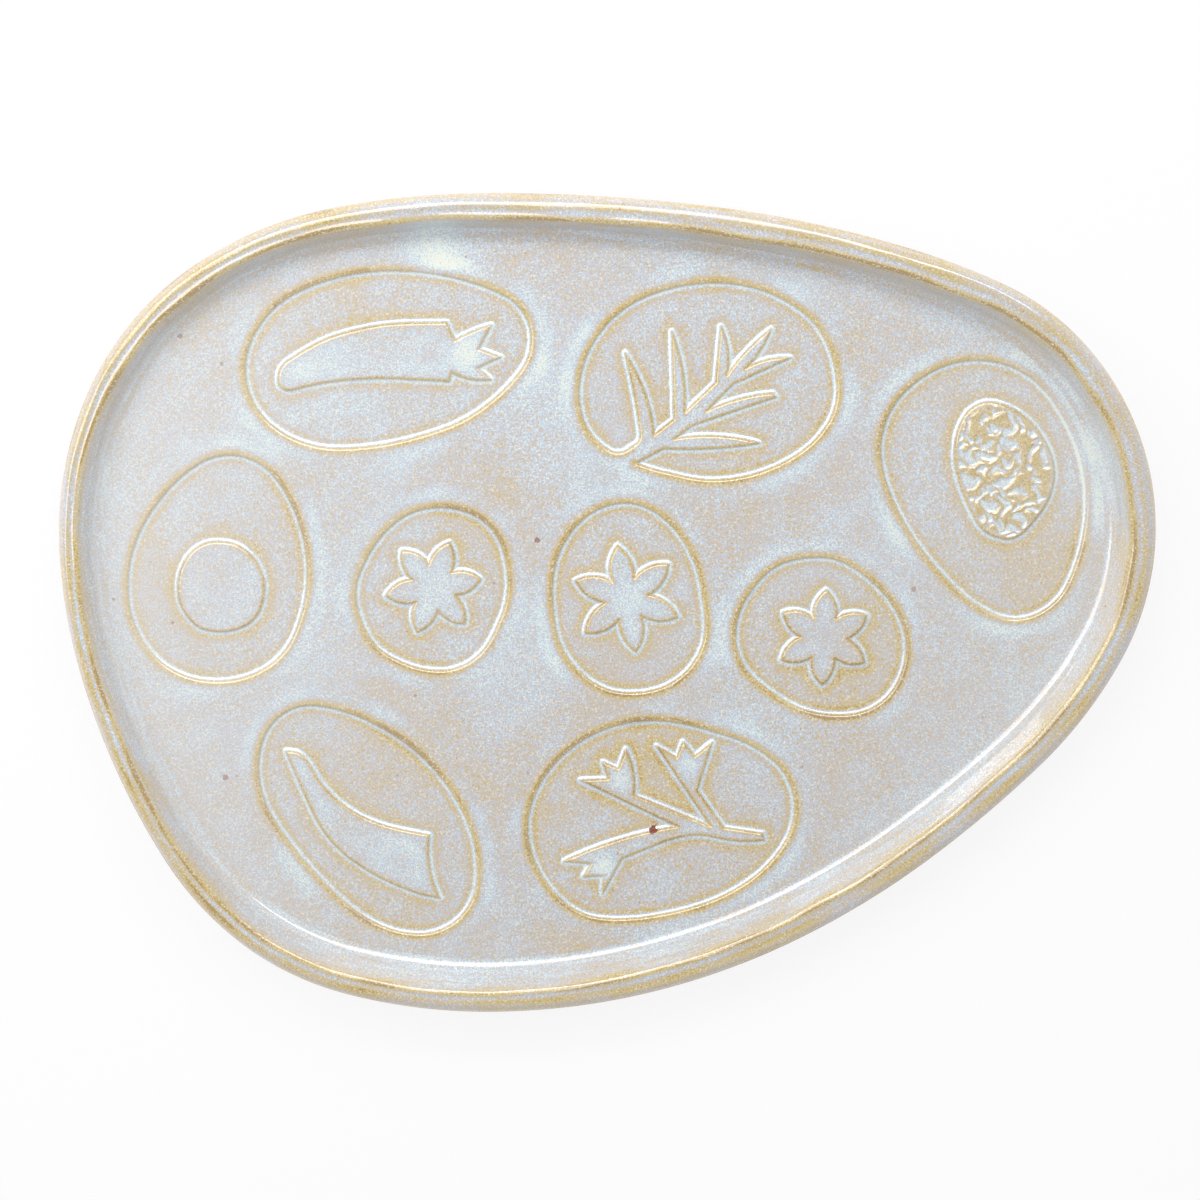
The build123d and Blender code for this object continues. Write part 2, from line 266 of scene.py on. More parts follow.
def bell(value, middle, width):
    # A hump that is 1 at the middle and falls as e to the minus square of the way in widths
    return np.exp(-((value - middle) / width) ** 2)


slabRings = ringsAt("floor_slab", fieldHeight)
wells = []
for ring in slabRings[1:]:
    outline, corner = smoothOutline(ring, outlineLook["wellSpacing"])
    wells.append({"outline": outline, "corner": corner})
for name in figureNodes + rosetteNodes:
    outline, corner = smoothOutline(ringsAt(name, fieldHeight)[0], outlineLook["figureSpacing"])
    home = next(well for well in wells if inside(outline.mean(axis=0)[None], well["outline"])[0])
    home.update(name=name, figure=outline, figureCorner=corner)

# A leaf's stem runs out through its well's mouth, so there neither outline is a stamped line
for well in wells:
    lines = segmentsOf(well["outline"])
    figureLines = segmentsOf(well["figure"])
    openLine = distanceTo(lines.mean(axis=1), figureLines) > outlineLook["sharedLine"]
    openFigureLine = distanceTo(figureLines.mean(axis=1), lines) > outlineLook["sharedLine"]
    well["lines"], well["figureLines"] = lines[openLine], figureLines[openFigureLine]
print("outlines:", len(wells), "wells and their figures")


def stepProfile(depth, look):
    # Across and down: a round edge, a straight steep wall and a round corner, centred on the wall
    lean = radians(look["wallDegrees"])
    turn = np.linspace(0, lean, look["bendSteps"])
    bend = np.stack([np.sin(turn), 1 - np.cos(turn)], axis=1)
    edge, corner = bend * look["edgeRadius"], bend[::-1] * look["cornerRadius"]
    wallDrop = depth - edge[-1, 1] - corner[0, 1]
    wallRun = wallDrop / tan(lean)
    total = edge[-1, 0] + wallRun + corner[0, 0]
    middle = edge[-1, 0] + wallRun / 2
    across = np.concatenate([edge[:, 0], total - corner[:, 0]]) - middle
    down = np.concatenate([edge[:, 1], depth - corner[:, 1]])
    return across, down


stepAcross, stepDown = stepProfile(wellDepth, stepLook)


def near(points, outline, margin):
    # Which points lie in an outline's box, grown by the margin
    low, high = outline.min(axis=0) - margin, outline.max(axis=0) + margin
    return np.flatnonzero(np.all((points > low) & (points < high), axis=1))


def fromStep(points):
    # Signed distance to the nearest stamped line: positive on the field and on the figures,
    # negative on the sunken floors
    signed = np.full(len(points), stepLook["reach"])
    for well in wells:
        here = near(points, well["outline"], stepLook["reach"])
        some = points[here]
        distance = np.minimum(*(distanceTo(some, well[kind]) for kind in ("lines", "figureLines")))
        sunken = inside(some, well["outline"]) & ~inside(some, well["figure"])
        signed[here] = np.where(sunken, -distance, np.minimum(distance, signed[here]))
    return signed


def ripple(points):
    # The hand-rolled slab isn't quite flat
    return fieldLook["ripple"] * waves(points, fieldLook["seed"], fieldLook["rippleLength"])


glazeLook = {
    "plain": 0.49,                      # 0 is bare-thin and gold, 1 is a deep pool
    "drift": 0.042, "driftLength": 60.0,
    "patch": 0.028, "patchLength": 17.0,
    "lean": (-0.030, 0.075), "leanOver": 150,       # change towards the narrow end and towards +Y
    "seeds": {"drift": 3, "patch": 5, "bank": 9, "rimPool": 13},
    # bands along the stamped lines: depth, distance from the line, width
    # the band at distance 0 darkens each step's wall: partly thin glaze, partly painted shade
    "edge": (-0.41, 0.72, 1.02), "scar": (-0.20, 0.0, 0.22), "shoulder": (-0.12, 1.7, 0.8),
    "corner": (0.56, -0.90, 0.56), "halo": (-0.31, -2.05, 1.15),
    "bank": (0.26, 4.4, 2.4), "bankLength": 34.0, "bankSwing": (0.5, 0.5, 1.3),
    "floor": -0.01, "floorFrom": 1.0, "floorTo": 3.0,
    "figureBank": 0.35, "figureEdge": 0.52,
    "figureTop": 0.10, "figureTopFrom": 0.4, "figureTopTo": 1.5,
    "rimPool": (0.045, 0.075, -0.03, 0.05), "rimPoolInset": 19.0, "rimPoolWidth": 4.5,
    "rimPoolLength": 26.0, "rimPoolSwing": (0.7, 0.4, 1.5),
    "poolEdge": -0.9,                   # a pool stops at the foot of a step
}
pools = np.array([                      # where, how wide, how deep
    (-45.7, 84.2, 5.0, 0.34), (-100.0, 78.0, 4.0, 0.22), (-55.6, 115.5, 9.0, 0.42),
    (-1.4, -89.5, 4.2, 0.36), (3.6, -58.5, 3.8, 0.36), (27.6, -54.0, 3.8, 0.36),
    (27.7, -75.5, 4.0, 0.16), (-101.5, -55.5, 3.5, 0.22), (43.5, 91.4, 13.0, 0.10),
    (-15.6, 41.9, 16.0, 0.09), (156.0, 52.0, 9.0, 0.40), (158.0, 30.0, 8.0, 0.22),
    (148.0, 70.0, 8.0, 0.22), (-122.0, 62.0, 26.0, -0.05), (-112.0, 0.0, 30.0, 0.03),
    (135.0, 30.0, 24.0, 0.03),
])


def patchy(points, kind):
    # A share that comes and goes: mean + spread times a random wave, from 0 up to the most
    mean, spread, most = glazeLook[kind + "Swing"]
    wave = waves(points, glazeLook["seeds"][kind], glazeLook[kind + "Length"])
    return np.clip(mean + spread * wave, 0, most)


def band(signed, kind, share=1.0, reach=1.0):
    # Thinner or deeper glaze along the stamped lines, as a bell of the signed distance
    amount, at, width = glazeLook[kind]
    return amount * share * bell(signed, at * reach, width * reach)


def glazeOn(points, signed, bankShare=1.0, edgeShare=1.0):
    # Depth of the glaze: thin over edges, darkened on the steps' walls partly as painted shade,
    # pooled in corners, drawn off the floor beside them, banked outside the wells and drifting over
    # the plate
    look, seeds = glazeLook, glazeLook["seeds"]
    depth = look["plain"] + look["drift"] * waves(points, seeds["drift"], look["driftLength"])
    depth += look["patch"] * waves(points, seeds["patch"], look["patchLength"])
    depth += points @ look["lean"] / look["leanOver"]
    # the second band darkens the steps' walls, partly as painted shade
    depth += band(signed, "edge", reach=edgeShare) + band(signed, "scar")
    depth += band(signed, "shoulder", edgeShare) + band(signed, "corner") + band(signed, "halo")
    depth += band(signed, "bank", bankShare * patchy(points, "bank"))
    poolLine = segmentsOf(bellyLine + inward * look["rimPoolInset"])
    amount = handShift(look["rimPool"], np.arctan2(points[:, 1], points[:, 0]))
    amount = amount * patchy(points, "rimPool")
    depth += amount * bell(distanceTo(points, poolLine), 0, look["rimPoolWidth"])
    depth += poolsAt(points) * (signed > look["poolEdge"])
    return depth + look["floor"] * ease(-signed, look["floorFrom"], look["floorTo"])


def poolsAt(points):
    # Sum of the round pools, each a bell of its own radius
    gaps = points[:, None, :] - pools[None, :, :2]
    return (pools[:, 3] * bell(np.hypot(gaps[..., 0], gaps[..., 1]), 0, pools[:, 2])).sum(axis=1)


def ringPoints(outline, corner, distances):
    # Points at each distance from an outline, along its normals and fanned round its corners
    step = unit(np.roll(outline, -1, axis=0) - outline)
    ahead = np.stack([step[:, 1], -step[:, 0]], axis=1)
    behind = np.roll(ahead, 1, axis=0)
    start = np.arctan2(behind[corner, 1], behind[corner, 0])
    swing = np.arctan2(ahead[corner, 1], ahead[corner, 0]) - start
    swing = (swing + np.pi) % (2 * np.pi) - np.pi
    share = np.linspace(0, 1, outlineLook["fanSteps"])[:, None]
    angle = (start + share * swing).ravel()
    fan = np.stack([np.cos(angle), np.sin(angle)], axis=1)
    origins = np.vstack([outline[~corner], np.tile(outline[corner], (outlineLook["fanSteps"], 1))])
    normals = np.vstack([unit(ahead + behind)[~corner], fan])
    points = origins[None] + normals[None] * np.asarray(distances)[:, None, None]
    wanted = np.repeat(np.abs(distances), len(origins))
    points = points.reshape(-1, 2)
    true = np.abs(distanceTo(points, segmentsOf(outline)) - wanted) < outlineLook["offLine"]
    return points[true]


def hexGrid(low, high, spacing):
    # Points of a triangular lattice over a box
    x = np.arange(low[0], high[0], spacing)
    y = np.arange(low[1], high[1], spacing * 0.866)     # the height of the triangle
    across, up = np.meshgrid(x, y)
    across = across + (np.arange(len(y)) % 2)[:, None] * spacing / 2
    return np.stack([across.ravel(), up.ravel()], axis=1)


def thinned(points, apart):
    # One point from each small square
    _, first = np.unique(np.round(points / apart).astype(np.int64), axis=0, return_index=True)
    return points[np.sort(first)]


def triangulate(outlines, loose):
    # Triangles over the outlines' points and the loose ones, with the outlines kept as edges
    points = np.vstack(outlines + [loose])
    edges, start = [], 0
    for outline in outlines:
        own = np.arange(len(outline)) + start
        edges.append(np.stack([own, np.roll(own, -1)], axis=1))
        start += len(outline)
    result = delaunay_2d_cdt(points.tolist(), np.concatenate(edges).tolist(), [], 0, 1e-5)
    flat = np.array([tuple(corner) for corner in result[0]])
    return flat, np.array(result[2])


def weld(corners, triangles, glaze):
    # Corners closer than a micrometre become one, and triangles that lose their area go
    grid = np.round(corners * meshLook["mergesPerMillimetre"]).astype(np.int64)
    _, first, index = np.unique(grid, axis=0, return_index=True, return_inverse=True)
    triangles = index.reshape(-1)[triangles]
    whole = ((triangles[:, 0] != triangles[:, 1]) & (triangles[:, 1] != triangles[:, 2])
             & (triangles[:, 2] != triangles[:, 0]))
    return corners[first], triangles[whole], glaze[first]


def makePiece(node, corners, triangles, glaze, material):
    # A closed mesh with outward faces and the glaze's depth at each corner, named after its node
    words = node.split("_")
    name = words[0] + "".join(word.capitalize() for word in words[1:])
    corners, triangles, glaze = weld(corners, triangles, glaze)
    first, second, third = (corners[triangles[:, side]] for side in range(3))
    if (first * np.cross(second, third)).sum() < 0:
        triangles = triangles[:, ::-1]
    mesh = bpy.data.meshes.new(name)
    mesh.vertices.add(len(corners))
    mesh.vertices.foreach_set("co", (corners * millimetre).astype(np.float32).ravel())
    mesh.loops.add(triangles.size)
    mesh.loops.foreach_set("vertex_index", triangles.astype(np.int32).ravel())
    mesh.polygons.add(len(triangles))
    mesh.polygons.foreach_set("loop_start", np.arange(0, triangles.size, 3, dtype=np.int32))
    mesh.update(calc_edges=True)
    mesh.validate()
    depth = mesh.attributes.new("glaze", "FLOAT", "POINT")
    depth.data.foreach_set("value", glaze.astype(np.float32))
    mesh.shade_smooth()
    mesh.set_sharp_from_angle(angle=radians(meshLook["sharpDegrees"]))
    mesh.materials.append(material)
    piece = bpy.data.objects.new(name, mesh)
    bpy.context.scene.collection.objects.link(piece)
    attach(piece, "root")
    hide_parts(node)
    print("made", name, len(triangles), "triangles")


def gridTriangles(rows, columns, offset=0):
    # Triangles of a grid that closes on itself in both directions
    index = np.arange(rows * columns).reshape(rows, columns) + offset
    right, up = np.roll(index, -1, axis=0), np.roll(index, -1, axis=1)
    both = np.roll(right, -1, axis=1)
    lower = np.stack([index, right, both], axis=-1).reshape(-1, 3)
    return np.concatenate([lower, np.stack([index, both, up], axis=-1).reshape(-1, 3)])


def curveThrough(keys, perSpan):
    # A Catmull-Rom curve through the rows, with as many points in each span
    keys = np.asarray(keys, float)
    padded = np.vstack([2 * keys[0] - keys[1], keys, 2 * keys[-1] - keys[-2]])
    before, here, there, after = padded[:-3], padded[1:-2], padded[2:-1], padded[3:]
    t = (np.arange(perSpan) / perSpan)[None, :, None]
    before, here, there, after = (row[:, None, :] for row in (before, here, there, after))
    bend = 2 * before - 5 * here + 4 * there - after
    twist = 3 * here - before - 3 * there + after
    curve = 0.5 * (2 * here + (there - before) * t + bend * t**2 + twist * t**3)
    return np.vstack([curve.reshape(-1, keys.shape[1]), keys[-1:]])


def srgb(red, green, blue):
    # A colour as a picture shows it, turned to the linear values that Blender takes: the part
    # over 255, plus 0.055, over 1.055, to the power of 2.4, and a plain share of it near black
    value = np.array([red, green, blue]) / 255
    linear = np.where(value <= 0.04045, value / 12.92, ((value + 0.055) / 1.055) ** 2.4)
    return (*linear.tolist(), 1.0)


glazeColours = [                        # glaze depth, and the colour it fires to
    (0.00, (178, 148, 88)),
    (0.08, (215, 187, 108)),
    (0.19, (217, 197, 138)),
    (0.31, (208, 192, 165)),
    (0.46, (206, 198, 200)),
    (0.60, (201, 208, 229)),
    (0.76, (198, 226, 245)),
    (0.90, (227, 245, 242)),
    (1.00, (246, 250, 238)),
]
specks = [                              # where the iron shows: place, radius, strength
    (15.3, -75.8, 1.7, 1.0), (-23.2, 21.9, 0.9, 0.7), (101.6, 5.5, 0.9, 0.45),
    (-127.6, -58.2, 1.0, 0.5), (-140.0, 89.5, 0.8, 0.5), (-126.5, 80.3, 0.7, 0.4),
]
finishLook = {
    # noise: scale, detail, roughness
    "cloudNoise": (90, 3.0, 0.55), "cloud": 0.20,
    "grainNoise": (950, 3.0, 0.65), "grain": 0.84,
    "fineNoise": (1900, 2.0, 0.7), "fine": 1.80,
    "speckleMiddle": 1.32, "thinSpeckle": 0.15, "deepSpeckle": 1.7,
    "sparkleNoise": (1500, 1.0, 0.5), "sparkleFrom": 0.54, "sparkleGain": 4.2,
    "sparkleColour": (240, 236, 226),
    # painted light: a pale colour mixed in towards the two ends of the field and cove, brighter
    # there than the lamps make it
    "milk": 10.0, "paintedEndLightMiddle": 0.02, "paintedEndLightTop": 0.0155, "paintedEndLightFade": 400.0,         # in metres
    "paintedEndLightColour": (240, 237, 233),
    "rustScale": 62, "rustReach": 0.034, "rust": 0.45, "rustColour": (134, 66, 42), "ragged": 1.5,
    "roughness": 0.34, "coatRoughness": 0.05, "coatIndex": 2.2, "bump": 0.18, "bumpHeight": 0.0001,
}


def addNode(tree, kind, **settings):
    # A new node with its settings
    node = tree.nodes.new(kind)
    for key, value in settings.items():
        setattr(node, key, value)
    return node


def newMaterial(name):
    # A material, its tree of nodes and its shader
    material = bpy.data.materials.new(name)
    material.use_nodes = True
    return material, material.node_tree, material.node_tree.nodes["Principled BSDF"]


def noiseField(tree, place, scale, detail, roughness):
    # Fractal noise over the piece, finer as the scale goes up
    node = addNode(tree, "ShaderNodeTexNoise")
    node.inputs["Scale"].default_value = scale
    node.inputs["Detail"].default_value = detail
    node.inputs["Roughness"].default_value = roughness
    tree.links.new(place.outputs["Object"], node.inputs["Vector"])
    return node.outputs["Fac"]


def feed(tree, sockets, values):
    # Each value into its socket: a number or a colour is set there, and an output is linked
    for socket, value in zip(sockets, values):
        if isinstance(value, (int, float, tuple)):
            socket.default_value = value
        else:
            tree.links.new(value, socket)


def maths(tree, operation, first, second, clamp=False):
    # One operation on two numbers or outputs
    node = addNode(tree, "ShaderNodeMath", operation=operation, use_clamp=clamp)
    feed(tree, node.inputs, (first, second))
    return node.outputs["Value"]


def mixColour(tree, share, first, second):
    # first + share (second - first), for each of red, green and blue
    node = addNode(tree, "ShaderNodeMix", data_type="RGBA")
    feed(tree, (node.inputs[0], node.inputs[6], node.inputs[7]), (share, first, second))
    return node.outputs[2]


def addBump(tree, shader, height, look):
    # The shader's normal, tipped by the slope of a height
    bump = addNode(tree, "ShaderNodeBump")
    bump.inputs["Strength"].default_value = look["bump"]
    bump.inputs["Distance"].default_value = look["bumpHeight"]
    tree.links.new(height, bump.inputs["Height"])
    tree.links.new(bump.outputs["Normal"], shader.inputs["Normal"])


def glazeMaterial():
    # Colour = ramp(depth + cloud + speckle), where thin glaze has the least speckle. Sparkle, a
    # painted light that pales the ends of the field, and rust are mixed in by their shares, under a
    # clear coat that the rust breaks through.
    look = finishLook
    material, tree, shader = newMaterial("opal_glaze")
    place = addNode(tree, "ShaderNodeTexCoord")
    depth = addNode(tree, "ShaderNodeAttribute", attribute_name="glaze").outputs["Fac"]
    cloud, grain, fine, sparkle = (noiseField(tree, place, *look[kind + "Noise"])
                                   for kind in ("cloud", "grain", "fine", "sparkle"))
    cloud = maths(tree, "MULTIPLY", maths(tree, "SUBTRACT", cloud, 0.5), look["cloud"])
    stirred = maths(tree, "ADD", depth, cloud)
    liveliness = maths(tree, "MULTIPLY", depth, look["deepSpeckle"])
    liveliness = maths(tree, "ADD", liveliness, look["thinSpeckle"], True)
    coarse = maths(tree, "MULTIPLY", grain, look["grain"])
    speckle = maths(tree, "ADD", coarse, maths(tree, "MULTIPLY", fine, look["fine"]))
    speckle = maths(tree, "SUBTRACT", speckle, look["speckleMiddle"])
    stirred = maths(tree, "ADD", stirred, maths(tree, "MULTIPLY", speckle, liveliness))
    ramp = addNode(tree, "ShaderNodeValToRGB")
    elements = ramp.color_ramp.elements
    elements.remove(elements[1])
    for position, colour in glazeColours:
        element = elements.new(position) if position else elements[0]
        element.position = position
        element.color = srgb(*colour)
    tree.links.new(stirred, ramp.inputs["Fac"])
    bright = maths(tree, "SUBTRACT", sparkle, look["sparkleFrom"])
    bright = maths(tree, "MULTIPLY", bright, look["sparkleGain"], True)
    colour = mixColour(tree, bright, ramp.outputs["Color"], srgb(*look["sparkleColour"]))
    # painted light: paler towards the ends by the square of the way along the plate, on the field
    # and its cove, standing in for light that the lamps don't give there
    parts = addNode(tree, "ShaderNodeSeparateXYZ")
    tree.links.new(place.outputs["Object"], parts.inputs[0])
    along = maths(tree, "SUBTRACT", parts.outputs["X"], look["paintedEndLightMiddle"])
    milk = maths(tree, "MULTIPLY", maths(tree, "MULTIPLY", along, along), look["milk"])
    below = maths(tree, "SUBTRACT", look["paintedEndLightTop"], parts.outputs["Z"])
    below = maths(tree, "MULTIPLY", below, look["paintedEndLightFade"], True)
    milk = maths(tree, "MULTIPLY", milk, below, True)
    colour = mixColour(tree, milk, colour, srgb(*look["paintedEndLightColour"]))
    rust = addNode(tree, "ShaderNodeTexVoronoi", feature="F1")
    rust.inputs["Scale"].default_value = look["rustScale"]
    tree.links.new(place.outputs["Object"], rust.inputs["Vector"])
    rustShare = maths(tree, "LESS_THAN", rust.outputs["Distance"], look["rustReach"])
    rustShare = maths(tree, "MULTIPLY", rustShare, look["rust"])
    for x, y, radius, share in specks:
        reach = addNode(tree, "ShaderNodeVectorMath", operation="DISTANCE")
        tree.links.new(place.outputs["Object"], reach.inputs[0])
        reach.inputs[1].default_value = (x * millimetre, y * millimetre, fieldHeight * millimetre)
        edge = maths(tree, "MULTIPLY_ADD", grain, -radius * millimetre)
        edge.node.inputs[2].default_value = radius * millimetre * look["ragged"]
        hit = maths(tree, "MULTIPLY", maths(tree, "LESS_THAN", reach.outputs["Value"], edge), share)
        rustShare = maths(tree, "MAXIMUM", rustShare, hit)
    colour = mixColour(tree, rustShare, colour, srgb(*look["rustColour"]))
    tree.links.new(colour, shader.inputs["Base Color"])
    tree.links.new(maths(tree, "SUBTRACT", 1.0, rustShare), shader.inputs["Coat Weight"])
    shader.inputs["Roughness"].default_value = look["roughness"]
    shader.inputs["Coat Roughness"].default_value = look["coatRoughness"]
    shader.inputs["Coat IOR"].default_value = look["coatIndex"]
    addBump(tree, shader, grain, look)
    return material


clayLook = {
    "grainNoise": (700, 5.0, 0.7), "grain": 0.7, "cloudNoise": (60, 2.0, 0.55), "cloud": 0.3,
    "dark": (0.32, (138, 108, 82)), "pale": (0.62, (206, 178, 146)),
    "roughness": 0.88, "bump": 0.5, "bumpHeight": 0.0002,
}


def clayMaterial():
    # Bare fired clay, matt: colour = ramp(grain + cloud), from dark grog to pale clay
    look = clayLook
    material, tree, shader = newMaterial("bare_clay")
    place = addNode(tree, "ShaderNodeTexCoord")
    grain = noiseField(tree, place, *look["grainNoise"])
    cloud = noiseField(tree, place, *look["cloudNoise"])
    coarse = maths(tree, "MULTIPLY", grain, look["grain"])
    share = maths(tree, "ADD", coarse, maths(tree, "MULTIPLY", cloud, look["cloud"]), True)
    ramp = addNode(tree, "ShaderNodeValToRGB")
    for element, (position, colour) in zip(ramp.color_ramp.elements, (look["dark"], look["pale"])):
        element.position = position
        element.color = srgb(*colour)
    tree.links.new(share, ramp.inputs["Fac"])
    tree.links.new(ramp.outputs["Color"], shader.inputs["Base Color"])
    shader.inputs["Roughness"].default_value = look["roughness"]
    addBump(tree, shader, grain, look)
    return material


glaze = glazeMaterial()
clay = clayMaterial()
print("glaze and bare clay mixed")

# The rim, the coil and the foot are sections carried round the belly line
bellyLine, _ = smoothOutline(ringsAt("rim_wall", bellyHeight)[0], outlineLook["rimSpacing"] / 3)
bellyLine = evenly(bellyLine, outlineLook["rimSpacing"])
inward = -outwardNormals(bellyLine)
bearing = np.arctan2(bellyLine[:, 1], bellyLine[:, 0])      # round the plate, from the narrow end
alongRim = np.arange(len(bellyLine)) / len(bellyLine) * 2 * np.pi


def handShift(look, bearing):
    # A size that drifts round the plate: a mean, one swing along each axis, and a second harmonic
    mean, alongX, alongY, second = look
    swing = alongX * np.cos(bearing) + alongY * np.sin(bearing)
    return mean + swing + second * np.cos(2 * bearing)


def wobble(seed, cycles, count=9):
    # A closed random drift round the rim with a spread of one: cosines of whole cycles
    draw = np.random.default_rng(seed)
    number = draw.integers(cycles[0], cycles[1], count)
    phase = draw.uniform(0, 2 * np.pi, count)
    return np.cos(alongRim[:, None] * number + phase).sum(axis=1) * np.sqrt(2 / count)


rimLook = {
    # inset from the belly, height over the field, glaze depth
    "keys": [
        (3.97, 0.00, 0.38), (3.20, 1.10, 0.40), (2.20, 2.52, 0.40), (1.20, 3.95, 0.36),
        (0.50, 5.40, 0.28), (0.10, 6.80, 0.12), (0.02, 7.90, 0.04), (0.12, 9.10, 0.06),
        (0.52, 10.30, 0.16), (1.10, 11.26, 0.30), (1.70, 11.92, 0.36), (2.25, 12.33, 0.37),
        (2.75, 12.58, 0.33), (3.30, 12.73, 0.25), (3.90, 12.77, 0.21), (4.50, 12.66, 0.32),
        (5.10, 12.48, 0.47), (5.70, 12.38, 0.51), (6.25, 12.41, 0.38), (6.75, 12.45, 0.15),
        (7.20, 12.36, 0.06), (7.60, 12.17, 0.07), (7.95, 11.92, 0.13), (8.20, 11.56, 0.19),
        (8.45, 10.93, 0.26), (8.90, 9.40, 0.37), (9.60, 7.20, 0.46), (10.30, 5.00, 0.48),
        (10.95, 3.00, 0.52), (11.97, 0.00, 0.52),
    ],
    "perSpan": 3,
    "stations": [0.6, 3.9, 7.2, 11.97],         # insets of the belly, the two beads and the foot
    "outerShift": (0.02, 0.50, -0.15, -0.33),
    "innerShift": (-0.25, 1.00, 0.20, -0.55),
    "footShift": (0.37, 0.80, -0.65, -0.48),
    "beadWobble": 0.16, "beadCycles": (5, 40),
    "heightWobble": 0.07, "liftCycles": (4, 34), "liftCut": 1.2, "liftFrom": 8.5, "liftTo": 12.4,
    "outerBead": 3.7, "innerBead": 6.9, "beadWidth": 0.9,
    "beadDrop": (0.10, 0.22, -0.30, 0.0), "dropAt": 3.8, "dropWidth": 1.3,
    # the inner face's glaze thins towards +Y and +X: partly glaze drift, partly painted shade on the
    # far wall that stands in shadow
    "innerGlazeAndShade": (-0.02, -0.03, -0.07, 0.0), "glazeFrom": 6.8, "glazeTo": 7.8,
    "shoulderShift": (-0.04, 0.02, 0.07, 0.0), "shoulderFrom": 4.4, "shoulderTo": 6.4,
    "drift": 0.05, "driftCycles": (3, 30),
    "streak": 0.07, "streakLength": 2.1, "streakRun": 0.07, "streakSlope": 0.35, "streakWaves": 40,
    "seeds": {"outer": 21, "inner": 22, "outerLift": 23, "innerLift": 29,
              "drift": 31, "streak": 33},
}
rimSeeds = rimLook["seeds"]


def sweep(inset, height):
    # Corners of a section carried round the belly line, a row for each point of the line: the
    # point + inset times inward, at the height
    shape = (len(bellyLine), inset.shape[-1])
    inset, height = np.broadcast_to(inset, shape), np.broadcast_to(height, shape)
    across = bellyLine[:, None, :] + inward[:, None, :] * inset[..., None]
    return np.dstack([across, height]).reshape(-1, 3)


def beadShift(bead):
    # A bead's shift inward round the plate: its drift and its wobble
    wavering = rimLook["beadWobble"] * wobble(rimSeeds[bead], rimLook["beadCycles"])
    return handShift(rimLook[bead + "Shift"], bearing) + wavering


outerShift, innerShift = beadShift("outer"), beadShift("inner")
footShift = handShift(rimLook["footShift"], bearing)


def rimDrift(corners, inset, height):
    # Change of the glaze's depth on the wall and its coil: drift and streaks that run round the
    # plate, the pools, on the inner face and coil a tanner far side that is partly painted shade,
    # and on the wall's outside a browner low side
    look = rimLook
    around = np.arange(len(bellyLine)) * outlineLook["rimSpacing"] * look["streakRun"]
    grooves = np.broadcast_arrays(around[:, None], height - look["streakSlope"] * inset)
    grooves = np.dstack(grooves).reshape(-1, 2)
    streaks = waves(grooves, rimSeeds["streak"], look["streakLength"], look["streakWaves"])
    drift = (look["streak"] * streaks + poolsAt(corners[:, :2])).reshape(len(bellyLine), -1)
    drift = drift + look["drift"] * wobble(rimSeeds["drift"], look["driftCycles"])[:, None]
    inner = ease(inset, look["glazeFrom"], look["glazeTo"])
    outer = 1 - ease(inset, look["shoulderFrom"], look["shoulderTo"])
    # partly painted shade: the inner face and coil tanner on the far side
    drift += handShift(look["innerGlazeAndShade"], bearing)[:, None] * inner
    return drift + handShift(look["shoulderShift"], bearing)[:, None] * outer


def rimShift(inset):
    # Shift of a section's points inward, round the plate: shared between the outer bead, the inner
    # bead and the wall's foot by how near the point is to each
    station = np.interp(inset, rimLook["stations"], [0, 1, 2, 3])
    share = np.maximum(1 - np.abs(station[None] - np.arange(1, 4)[:, None]), 0)
    return np.stack([outerShift, innerShift, footShift], axis=1) @ share


def makeRim():
    # The wall's section, with its beads and its inner face shifted a little round the plate
    look = rimLook
    section = curveThrough(look["keys"], look["perSpan"])
    inset, height = section[:, 0], section[:, 1]
    shift = rimShift(np.where(np.arange(len(section)) > np.argmin(inset), inset, 0))
    topShare = ease(height, look["liftFrom"], look["liftTo"])
    lift = sum(wobble(rimSeeds[bead + "Lift"], look["liftCycles"])[:, None]
               * bell(inset, look[bead + "Bead"], look["beadWidth"]) for bead in ("outer", "inner"))
    drop = look["heightWobble"] * np.minimum(lift - look["liftCut"], 0) * topShare
    lowSide = np.clip(handShift(look["beadDrop"], bearing), 0, 1)[:, None]
    drop = drop - lowSide * bell(inset, look["dropAt"], look["dropWidth"])
    corners = sweep(inset + shift, fieldHeight + height + np.minimum(drop, 0))
    depth = section[:, 2] + rimDrift(corners, inset, height)
    triangles = gridTriangles(*depth.shape)
    makePiece("rim_wall", corners, triangles, depth.ravel(), glaze)


coilLook = {
    "radius": 4.2, "steps": 12,
    "wallTop": (8.90, 9.40), "wallFoot": (11.97, 0.0),
    "overField": (0.8, -0.015), "upWall": 0.9, "intoWall": 0.06,    # the coil's feathered edges
    "sunk": 0.4,
    "glaze": 0.57, "thin": 0.05, "thinFrom": 0.2, "thinTo": 3.2,
    "rippleTop": 3.0,                   # over this height the coil follows the wall alone
}


